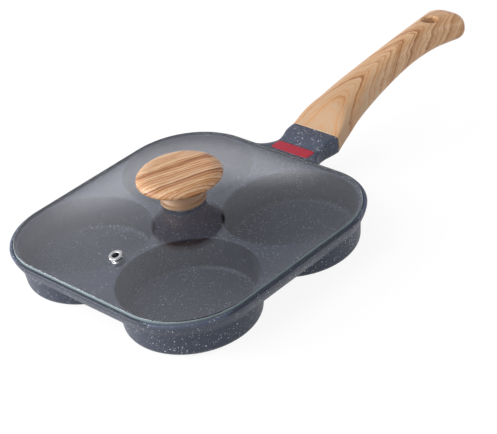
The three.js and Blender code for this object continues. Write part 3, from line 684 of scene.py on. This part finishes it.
def panBody():
    body = trayShape()
    inward = tray["flare"] + tray["skirtWall"]
    levels = (skirtFoot - beyond, deckHeight - tray["deckThickness"])
    under = [roundedRing((panHalf - inward,) * 2, panCorner - inward, z) for z in levels]
    combine(body, skin("under", under), "DIFFERENCE")
    cups = cupSkins()
    values = {"Pitch": 2 * cupOffset * mm, "Coat": granite}
    tree = fourCupsTree()
    outsides, insides = (grow("cups", tree, {"Cup": one, **values}) for one in cups)
    combine(body, outsides, "UNION")
    webTop, webSpan = deckHeight - tray["deckThickness"] / 2, cupOffset - cup["shoulderRadius"] + cup["wall"]
    half = tray["webLength"] / 2
    corners = ((-webSpan, -half), (webSpan, -half), (webSpan, half), (-webSpan, half))
    rings = [[Vector((x, y + cupOffset, z)) for x, y in corners] for z in (skirtFoot, webTop)]
    for quarter in range(4):
        combine(body, skin("web", rings, turn=Matrix.Rotation(quarter * math.pi / 2, 4, "Z")), "UNION")
    combine(body, lugShape(), "UNION")
    combine(body, tongueShape(0), "UNION")
    combine(body, insides, "DIFFERENCE")
    pocket = [insetRing(inset["fit"], z) for z in (insetFloor, tray["rim"] + beyond)]
    combine(body, skin("pocket", pocket), "DIFFERENCE")
    bore = rod("bore", gripScrew["radius"] + gripScrew["fit"], tongueUnder - beyond,
               tongueUnder + gripScrew["reach"] + gripScrew["fit"], gripScrew["boreSteps"], screwFrame)
    combine(body, bore, "DIFFERENCE")
    for one in cups:
        bpy.data.objects.remove(one)
    shade(body)
    paintCoatLight(body)
    return finishPiece(body, granite, "pan", "granite_coat", "pan_body")


def redInset():
    edge, crown, top = inset["edge"], inset["crown"], lugRootTop + inset["proud"]
    bottom = insetFloor + inset["fit"]
    rings = [insetRing(-edge, bottom), insetRing(0, bottom + edge)]
    for u, v in arc(0, 0, edge, 0, 90, inset["edgeSteps"]):
        rings.append(insetRing(-edge + u, top - edge - crown + v))
    for share in inset["crownRings"]:
        reach = share * inset["width"] * inset["crownReach"]
        rings.append(insetRing(-edge - reach, top - crown * (1 - share) ** 2))
    piece = shade(skin("redStrip", rings))
    return finishPiece(piece, plain["redSilicone"], "pan", "red_silicone", "red_inset")


def gripSection(distance, narrow=1.0):
    inside = min(distance, gripLength)
    height, halfWidth, halfHeight = gripAt(inside)
    slope = (gripAt(inside)[0] - gripAt(inside - slopeStep)[0]) / slopeStep if distance > inside else 0
    height += slope * (distance - inside)
    turned = smooth(distance, 0, grip["square"])
    top = 1 / mix(1 / lug["endSharpness"], 1 / grip["topSharpness"], turned)
    under = 1 / mix(1 / lug["footSharpness"], 1 / grip["underSharpness"], turned)
    return sectionRing(lugFace + distance, height, halfWidth * narrow, halfHeight * narrow, top, under,
                       grip["points"])


def gripHole():  # its edges follow the crowned faces of the grip
    distance = gripEnd - grip["holeFromEnd"] - lugFace
    radius, edge = grip["holeRadius"], grip["holeRound"]
    turn = arc(edge, -edge, edge, 90, 180, grip["holeRoundSteps"])
    sides = [(edge, -beyond), *[(u, -v) for u, v in turn]]
    rings = []
    for sign, sharpness in ((-1, grip["underSharpness"]), (1, grip["topSharpness"])):
        level = []
        for wider, drop in sides:
            ring = []
            for x, y in arc(0, 0, radius + wider, 0, 360, grip["holeSteps"])[:-1]:
                height, halfWidth, halfHeight = gripAt(min(distance + x, gripLength))
                crown = max(0, 1 - abs(y / halfWidth) ** sharpness) ** (1 / sharpness)
                ring.append(Vector((lugFace + distance + x, y, height + sign * (halfHeight * crown - drop))))
            level.append(ring)
        rings += level if sign < 0 else level[::-1]
    return skin("hole", rings)


def handleGrip():
    face, gap = grip["faceRound"], grip["gap"]
    rings = []
    for u, v in arc(face, 0, face, 180, 90, grip["faceSteps"]):
        height, halfWidth, halfHeight = gripAt(gap + u)
        rings.append(sectionRing(lugFace + gap + u, height, halfWidth - face + v, halfHeight - face + v,
                                 lug["endSharpness"], lug["footSharpness"], grip["points"]))
    for i in range(1, grip["steps"] + 1):
        rings.append(gripSection(mix(gap + face, gripLength, i / grip["steps"])))
    for sine, _ in arc(0, 0, 1, 90, grip["tailTip"], grip["tailSteps"])[1:]:
        narrow = (1 - sine ** grip["tailSharpness"]) ** (1 / grip["tailSharpness"])
        rings.append(gripSection(gripLength + grip["tail"] * sine, narrow))
    piece = skin("gripMoulding", rings)
    combine(piece, tongueShape(tongue["fit"]), "DIFFERENCE")
    low = gripUnder - 2 * beyond
    shaft, well = gripScrew["radius"] + gripScrew["fit"], gripScrew["washerRadius"] + gripScrew["fit"]
    combine(piece, rod("shaft", shaft, low, 0, gripScrew["boreSteps"], screwFrame), "DIFFERENCE")
    combine(piece, rod("well", well, low, washerSeat, gripScrew["wellSteps"], screwFrame), "DIFFERENCE")
    combine(piece, gripHole(), "DIFFERENCE")
    return finishPiece(shade(piece), gripWood, "pan", "wood_moulding", "handle_grip")


panBody()
redInset()
handleGrip()


# Screws, washers and rings

screwForm = {"turnSteps": 20, "ribSides": 6, "headRound": 0.45, "headSteps": 8, "steps": 48,
             "crossAbove": 0.5, "crossTip": 0.55}


def threadTree():  # a raised helix wound round a shank
    tree, given = newTree("screwThread", Turns="Float", Height="Float", Radius="Float", Depth="Float",
                          Metal="Material")
    helix = addNode(tree, "GeometryNodeCurveSpiral", {
        "Resolution": screwForm["turnSteps"], "Rotations": given["Turns"], "Height": given["Height"],
        "Start Radius": given["Radius"], "End Radius": given["Radius"]})
    rib = addNode(tree, "GeometryNodeCurvePrimitiveCircle",
                  {"Resolution": screwForm["ribSides"], "Radius": given["Depth"]})
    wound = addNode(tree, "GeometryNodeCurveToMesh",
                    {"Curve": helix, "Profile Curve": rib, "Fill Caps": True})
    closeTree(tree, wound, given["Metal"])
    return tree


def crossTool(sizes, low, turn):  # tapered cross for the driver
    bars = []
    for angle in (0, math.pi / 2):
        rings = []
        for depth, share in ((-screwForm["crossAbove"], 1.0), (sizes["driveDepth"], screwForm["crossTip"])):
            x, y = sizes["driveRadius"] * share, sizes["driveWidth"] / 2
            rings.append([Vector((u, v, low + depth)) for u, v in ((-x, -y), (x, -y), (x, y), (-x, y))])
        bars.append(skin("bar", rings, turn=turn @ Matrix.Rotation(angle, 4, "Z")))
    return combine(bars[0], bars[1], "UNION")


def screwShape(name, sizes, top, headTop, tree, turn, material):  # from the head up to the top of the thread
    depth, head, tall = sizes["threadDepth"], sizes["headRadius"], sizes["headHeight"]
    core, tip, edge = sizes["radius"] - depth, sizes["radius"] / 2, tall * screwForm["headRound"]
    low, length = headTop - tall, top - headTop
    profile = [(0, low), *arc(head - edge, low + edge, edge, -90, 0, screwForm["headSteps"]), (head, headTop)]
    profile += [(core, headTop), (core, headTop + length - tip), (core - tip / 2, headTop + length)]
    profile.append((0, headTop + length))
    piece = lathe(name, profile, screwForm["steps"], turn=turn)
    threaded = length - 2 * tip
    values = {"Turns": threaded / sizes["pitch"], "Height": threaded * mm, "Radius": core * mm,
              "Depth": depth * mm, "Metal": material}
    helix = grow("helix", tree, values)
    metres = turn.copy()  # the same turn, with its shift in metres
    metres.translation = turn.translation * mm
    start = Matrix.Translation((0, 0, (headTop + tip / 2) * mm))
    helix.data.transform(Matrix.Translation(panMiddle) @ metres @ start)
    combine(piece, helix, "UNION")
    return combine(piece, crossTool(sizes, low, turn), "DIFFERENCE")


threads = threadTree()
washerTop = washerSeat - gripScrew["stackGap"]
washerBottom = washerTop - gripScrew["washerThickness"]
handleScrew = screwShape("handleScrew", gripScrew, tongueUnder + gripScrew["reach"],
                         washerBottom - gripScrew["stackGap"], threads, screwFrame, plain["zincPlatedSteel"])
finishPiece(shade(handleScrew), plain["zincPlatedSteel"], "pan", "zinc_steel", "handle_screw")


def springWasher():  # one turn of square wire, cut open
    inner, outer = gripScrew["radius"] + gripScrew["fit"], gripScrew["washerRadius"]
    half, steps = gripScrew["splitAngle"] / 2, gripScrew["washerSteps"]
    corners = ((inner, washerBottom), (outer, washerBottom), (outer, washerTop), (inner, washerTop))
    rings = []
    for i in range(steps + 1):
        turn = Matrix.Rotation(math.radians(mix(half, 360 - half, i / steps)), 4, "Z")
        rings.append([turn @ Vector((x, 0, z)) for x, z in corners])
    return skin("springWasher", rings, turn=screwFrame)


finishPiece(shade(springWasher()), plain["zincPlatedSteel"], "pan", "zinc_steel", "handle_washer")


# Lid: a plate of concentric rings, lifted into a dome by one rule

lid = {
    "gap": 0.4, "seatGap": 0.3, "thickness": 4, "edgeRound": 0.9, "flange": 1.2, "rise": 13.2,
    "exponent": 1.627, "holeRadius": 3.4, "steps": 64, "edgeSteps": 8, "groundBelow": 0.75,
}
vent = {
    "fromEdge": 34.2, "bore": 2.3, "barrel": 2.9, "flange": 4.8, "foot": 4.3, "flangeHeight": 1.2,
    "footHeight": 0.9, "fit": 0.3, "steps": 64, "footSteps": 12, "flangeSteps": 14, "boreSteps": 10,
}
glassHalf, glassCorner = recessHalf - lid["gap"], recessRadius - lid["gap"]
glassBottom = deckHeight + lid["seatGap"]
glassTop = glassBottom + lid["thickness"]
domeReach = glassHalf - lid["flange"]


def domeHeight(distance):
    return glassTop + lid["rise"] * max(0, 1 - (distance / domeReach) ** 2) ** lid["exponent"]


ventDistance = glassHalf - vent["fromEdge"]
ventSlope = (domeHeight(ventDistance + slopeStep) - domeHeight(ventDistance)) / slopeStep
ventTilt = math.atan(ventSlope)
ventFrame = Matrix.Translation((-ventDistance, 0, domeHeight(ventDistance) - lid["thickness"] / 2))
ventFrame = ventFrame @ Matrix.Rotation(ventTilt, 4, "Y")


def domeTree():
    tree, given = newTree("lidDome", Plate="Geometry", Rise="Float", Reach="Float", Exponent="Float",
                          Glass="Material")
    half = addNode(tree, "GeometryNodeInputNamedAttribute", {"Name": "half"}, data_type="FLOAT")
    share = addNode(tree, "ShaderNodeMath", {0: half, 1: given["Reach"]}, operation="DIVIDE")
    square = addNode(tree, "ShaderNodeMath", {0: share, 1: share}, operation="MULTIPLY")
    left = addNode(tree, "ShaderNodeMath", {0: 1.0, 1: square}, operation="SUBTRACT", use_clamp=True)
    curve = addNode(tree, "ShaderNodeMath", {0: left, 1: given["Exponent"]}, operation="POWER")
    lift = addNode(tree, "ShaderNodeMath", {0: curve, 1: given["Rise"]}, operation="MULTIPLY")
    offset = addNode(tree, "ShaderNodeCombineXYZ", {2: lift})
    domed = addNode(tree, "GeometryNodeSetPosition", {"Geometry": given["Plate"], "Offset": offset})
    closeTree(tree, domed, given["Glass"])
    return tree


def plateOutline():
    edge = lid["edgeRound"]
    radii = [mix(lid["holeRadius"], domeReach, i / lid["steps"]) for i in range(lid["steps"] + 1)]
    outline = [(half, glassBottom) for half in radii]
    outline += arc(glassHalf - edge, glassBottom + edge, edge, -90, 0, lid["edgeSteps"])
    outline += arc(glassHalf - edge, glassTop - edge, edge, 0, 90, lid["edgeSteps"])
    return outline + [(half, glassTop) for half in radii[::-1]]


def plateCorner(half):  # rings are round at the knob and square at the edge
    return half * (1 - (1 - glassCorner / glassHalf) * (half / glassHalf) ** 2)


def plateHalf(place):  # half size of the ring through a point of the plate
    low, high = 0.0, glassHalf + 1
    x, y = abs(place.x), abs(place.y)
    for _ in range(searchSteps):
        half = (low + high) / 2
        corner = plateCorner(half)
        u, v = max(0, x - half + corner), max(0, y - half + corner)
        inside = max(x, y) < half and math.hypot(u, v) < corner
        low, high = (low, half) if inside else (half, high)
    return (low + high) / 2


def lidGlass():
    rings = [roundedRing((half, half), plateCorner(half), height) for half, height in plateOutline()]
    plate = skin("plate", rings, closed=True)
    halves = [plateHalf((vertex.co - panMiddle) / mm) * mm for vertex in plate.data.vertices]
    plate.data.attributes.new("half", "FLOAT", "POINT").data.foreach_set("value", halves)
    values = {"Rise": lid["rise"] * mm, "Reach": domeReach * mm, "Exponent": lid["exponent"], "Glass": glass}
    piece = grow("lidGlass", domeTree(), values, plate.data)
    bpy.data.objects.remove(plate)
    through = 2 * lid["thickness"]
    hole = rod("ventHole", vent["barrel"] + vent["fit"], -through, through, vent["steps"], ventFrame)
    combine(piece, hole, "DIFFERENCE")
    finishPiece(shade(piece), glass, "lid", "clear_glass", "lid_glass")
    piece.data.materials.append(groundEdge)
    for face in piece.data.polygons:
        outer = plateHalf((face.center - panMiddle) / mm) > glassHalf - lid["edgeRound"]
        face.material_index = int(outer and abs(face.normal.z) < lid["groundBelow"])


def ventEyelet():
    half = lid["thickness"] / 2 * math.cos(ventTilt)
    under, over = -half - vent["fit"], half + vent["fit"]
    top, foot = vent["flangeHeight"] / 2, vent["footHeight"] / 2  # both edges are fully round
    profile = [(vent["bore"], under - vent["footHeight"])]
    profile += arc(vent["foot"] - foot, under - foot, foot, -90, 90, vent["footSteps"])
    profile += [(vent["barrel"], under), (vent["barrel"], over)]
    profile += arc(vent["flange"] - top, over + top, top, -90, 90, vent["flangeSteps"])
    profile += arc(vent["bore"] + top, over + top, top, 90, 180, vent["boreSteps"])
    piece = lathe("ventEyelet", profile, vent["steps"], closed=True, turn=ventFrame)
    return finishPiece(shade(piece), plain["polishedSteel"], "lid", "bright_steel", "vent_eyelet")


lidGlass()
ventEyelet()


# Knob and what clamps it to the glass

knob = {
    "foot": 15.4, "footHeight": 2.6, "footRound": 0.8, "neck": 12.6, "neckHeight": 8.6, "cap": 29,
    "capHeight": 18, "underRound": 1.6, "underTurn": -60, "underRise": 4.6, "topRound": 4.5, "edgeReach": 10,
    "crown": 0.6, "boreDepth": 13.5, "crease": 40,
    "steps": 128, "footSteps": 6, "neckSteps": 12, "underSteps": 16, "lipSteps": 6, "topSteps": 24,
}
clamp = {
    "knobGasket": 13, "knobGasketThickness": 0.8, "glassGasket": 9, "glassGasketThickness": 1.2,
    "washer": 8, "washerThickness": 1, "gap": 0.1, "easeShare": 0.25, "easeSteps": 3,
}
insert = {
    "radius": 4, "length": 12, "fit": 0.2, "edge": 0.2, "steps": 56,
    "knurl": 0.25, "ribs": 28, "ribLength": 9, "ribSides": 8,
}
knobScrew = {
    "radius": 2.5, "reach": 9.5, "headRadius": 4.6, "headHeight": 2.4, "fit": 0.2, "pitch": 0.8,
    "threadDepth": 0.35, "driveRadius": 2.6, "driveWidth": 1.0, "driveDepth": 1.4,
}
gasketBottom = domeHeight(0) + clamp["gap"]
gasketTop = gasketBottom + clamp["knobGasketThickness"]
knobBase = gasketTop + clamp["gap"]
lowerTop = domeHeight(clamp["glassGasket"]) - lid["thickness"] - clamp["gap"]
washerLevel = lowerTop - clamp["glassGasketThickness"] - clamp["gap"]
knobHeadTop = washerLevel - clamp["washerThickness"] - clamp["gap"]
shank = knobScrew["radius"] + knobScrew["fit"]


def knobMoulding():
    foot, neck, cap = knob["foot"], knob["neck"], knob["cap"]
    low, high, tall = knob["footHeight"], knob["neckHeight"], knob["capHeight"]
    edge, under, reach = knob["footRound"], knob["underRound"], knob["edgeReach"]
    bore, rise = insert["radius"] + insert["fit"], knob["topRound"] + knob["crown"]
    profile = [(0, knob["boreDepth"]), (bore, knob["boreDepth"]), (bore, 0)]
    profile += arc(foot - edge, edge, edge, -90, 0, knob["footSteps"])
    profile += bend((foot, low), (neck, low), (neck, high), knob["neckSteps"])
    profile += bend((neck, high), (neck, tall - knob["underRise"]), (cap - under, tall - under),
                    knob["underSteps"])[1:]
    profile += arc(cap - under, tall, under, knob["underTurn"], 0, knob["lipSteps"])
    quarter = arc(0, 0, 1, 0, 90, knob["topSteps"])[1:]
    profile += [(cap - reach + reach * x, tall + rise * z) for x, z in quarter]
    profile.append((0, tall + rise))
    piece = lathe("knobMoulding", [(r, knobBase + z) for r, z in profile], knob["steps"])
    return finishPiece(shade(piece, knob["crease"]), knobWood, "lid", "wood_moulding", "knob")


def softRing(name, inner, outer, bottom, top, edge, steps=72):  # a flat ring with eased edges
    left, right, low, high = inner + edge, outer - edge, bottom + edge, top - edge
    profile = []
    for quarter, (x, z) in enumerate(((left, low), (right, low), (right, high), (left, high))):
        start = 180 + 90 * quarter
        profile += arc(x, z, edge, start, start + 90, clamp["easeSteps"])
    return shade(lathe(name, profile, steps, closed=True))


def knurlTree():  # upright ribs round a sleeve
    tree, given = newTree("insertKnurl", Ribs="Int", Radius="Float", Depth="Float", Length="Float",
                          Metal="Material")
    circle = addNode(tree, "GeometryNodeMeshCircle", {"Vertices": given["Ribs"], "Radius": given["Radius"]})
    rib = addNode(tree, "GeometryNodeMeshCylinder",
                  {"Vertices": insert["ribSides"], "Radius": given["Depth"], "Depth": given["Length"]})
    placed = addNode(tree, "GeometryNodeInstanceOnPoints", {"Points": circle, "Instance": rib})
    closeTree(tree, placed, given["Metal"])
    return tree


def knobInsert():
    outer, brass = insert["radius"] - insert["knurl"], plain["turnedBrass"]
    low, high = knobBase + clamp["gap"], knobBase + insert["length"]
    piece = softRing("knobInsert", shank, outer, low, high, insert["edge"], insert["steps"])
    values = {"Ribs": insert["ribs"], "Radius": outer * mm, "Depth": insert["knurl"] * mm,
              "Length": insert["ribLength"] * mm, "Metal": brass}
    ribs = grow("ribs", knurlTree(), values)
    ribs.data.transform(Matrix.Translation(panMiddle + Vector((0, 0, (low + high) / 2 * mm))))
    combine(piece, ribs, "UNION")
    return finishPiece(shade(piece), brass, "lid", "brass", "knob_insert")


knobMoulding()
knobInsert()
clamped = (  # name, radius, thickness, top, material, slot, node
    ("knobGasket", clamp["knobGasket"], clamp["knobGasketThickness"], gasketTop, "clearSilicone",
     "clear_silicone", "knob_gasket"),
    ("glassGasket", clamp["glassGasket"], clamp["glassGasketThickness"], lowerTop, "clearSilicone",
     "clear_silicone", "glass_gasket"),
    ("knobWasher", clamp["washer"], clamp["washerThickness"], washerLevel, "zincPlatedSteel",
     "zinc_steel", "knob_washer"),
)
for name, radius, thickness, top, material, slot, node in clamped:
    piece = softRing(name, shank, radius, top - thickness, top, thickness * clamp["easeShare"])
    finishPiece(piece, plain[material], "lid", slot, node)
lidScrew = screwShape("knobScrew", knobScrew, knobBase + knobScrew["reach"], knobHeadTop, threads,
                      Matrix.Identity(4), plain["zincPlatedSteel"])
finishPiece(shade(lidScrew), plain["zincPlatedSteel"], "lid", "zinc_steel", "knob_screw")


# Stage: pale floor, studio that is brighter to the left, three lamps, camera

studio = {
    "floorSize": 8000, "floor": "#c6c6c6", "whiteShare": 0.82, "white": 1.1,
    "left": (-0.68, 0.73, 0), "level": 0.6, "slope": 0.95, "least": 0.25, "most": 1.25,
    "sweep": 1.12, "horizon": (0.2, 0.45), "tint": (0.965, 0.972, 1.05, 1),
}
plainWhite = (1, 1, 1, 1)


def floorPlane():  # shown mostly white, also in glass and metal, and keeps the shadow
    half = studio["floorSize"] / 2 * mm
    mesh = bpy.data.meshes.new("floor")
    corners = [(-half, -half, 0), (half, -half, 0), (half, half, 0), (-half, half, 0)]
    mesh.from_pydata(corners, [], [(0, 1, 2, 3)])
    material = bpy.data.materials.new("paleFloor")
    tree = clearTree(material)
    matt = addNode(tree, "ShaderNodeBsdfDiffuse", {"Color": linear(studio["floor"])})
    white = addNode(tree, "ShaderNodeEmission", {"Color": plainWhite, "Strength": studio["white"]})
    ray = addNode(tree, "ShaderNodeLightPath").outputs
    seen = ray["Is Camera Ray"]
    for kind in ("Is Glossy Ray", "Is Transmission Ray"):
        seen = addNode(tree, "ShaderNodeMath", {0: seen, 1: ray[kind]}, operation="MAXIMUM")
    share = addNode(tree, "ShaderNodeMath", {0: seen, 1: studio["whiteShare"]}, operation="MULTIPLY")
    whole = addNode(tree, "ShaderNodeMixShader", {0: share, 1: matt, 2: white})
    addNode(tree, "ShaderNodeOutputMaterial", {"Surface": whole})
    mesh.materials.append(material)
    addObject("floor", mesh)


def studioWorld():  # white behind the picture and low down, greyer overhead and to the right
    world = bpy.data.worlds.new("studio")
    bpy.context.scene.world = world
    tree = clearTree(world)
    way = addNode(tree, "ShaderNodeTexCoord").outputs["Generated"]
    side = addNode(tree, "ShaderNodeVectorMath", {0: way, 1: studio["left"]}, operation="DOT_PRODUCT")
    wall = addNode(tree, "ShaderNodeMapRange", {0: side.outputs["Value"], 1: -1.0, 2: 1.0,
                                                3: studio["level"] - studio["slope"],
                                                4: studio["level"] + studio["slope"]})
    wall = addNode(tree, "ShaderNodeClamp", {0: wall, 1: studio["least"], 2: studio["most"]})
    height = addNode(tree, "ShaderNodeSeparateXYZ", {0: way}).outputs["Z"]
    low, high = studio["horizon"]
    sweep = addNode(tree, "ShaderNodeMapRange", {0: height, 1: low, 2: high, 3: 1.0, 4: 0.0},
                    interpolation_type="SMOOTHSTEP")
    level = addNode(tree, "ShaderNodeMix", {0: sweep, 2: wall, 3: studio["sweep"]})
    room = addNode(tree, "ShaderNodeBackground", {"Color": studio["tint"], "Strength": level})
    white = addNode(tree, "ShaderNodeBackground", {"Color": plainWhite, "Strength": 1.0})
    seen = addNode(tree, "ShaderNodeLightPath").outputs["Is Camera Ray"]
    sky = addNode(tree, "ShaderNodeMixShader", {0: seen, 1: room, 2: white})
    addNode(tree, "ShaderNodeOutputWorld", {"Surface": sky})


lamps = (  # name, place, aim, side length, spread in degrees, watts
    ("keyLeft", (-930, 1000, 520), (0, 0, 20), 700, 180, 19.5),
    ("keyOver", (-880, 230, 1050), (0, 0, 20), 900, 180, 7),
    ("gripFill", (620, -700, 420), (215, -10, 45), 300, 16, 0.055),
)


def studioLamps():
    for name, place, aim, size, spread, watts in lamps:
        data = bpy.data.lights.new(name, "AREA")
        data.shape, data.size, data.spread, data.energy = "SQUARE", size * mm, math.radians(spread), watts
        lamp = addObject(name, data)
        lamp.location = Vector(place) * mm + panMiddle
        away = Vector(place) - Vector(aim)
        lamp.rotation_euler = away.to_track_quat("Z", "Y").to_euler()


cameraSetup = {
    "eye": (-536.2, -649.0, 545.6), "aim": (23.59, -34.07, 28.8), "roll": -8.92, "lens": 107.63, "sensor": 36,
    "near": 10, "far": 30000,
}


def photoCamera():
    data = bpy.data.cameras.new("photoCamera")
    data.lens, data.sensor_width = cameraSetup["lens"], cameraSetup["sensor"]
    data.clip_start, data.clip_end = cameraSetup["near"] * mm, cameraSetup["far"] * mm
    camera = addObject("photoCamera", data)
    eye, aim = Vector(cameraSetup["eye"]), Vector(cameraSetup["aim"])
    level = (eye - aim).to_track_quat("Z", "Y").to_matrix().to_4x4()
    roll = Matrix.Rotation(math.radians(cameraSetup["roll"]), 4, "Z")
    camera.matrix_world = Matrix.Translation(eye * mm + panMiddle) @ level @ roll
    bpy.context.scene.camera = camera


floorPlane()
studioWorld()
studioLamps()
photoCamera()
bpy.context.scene.view_settings.view_transform = "Standard"
print("stage made")
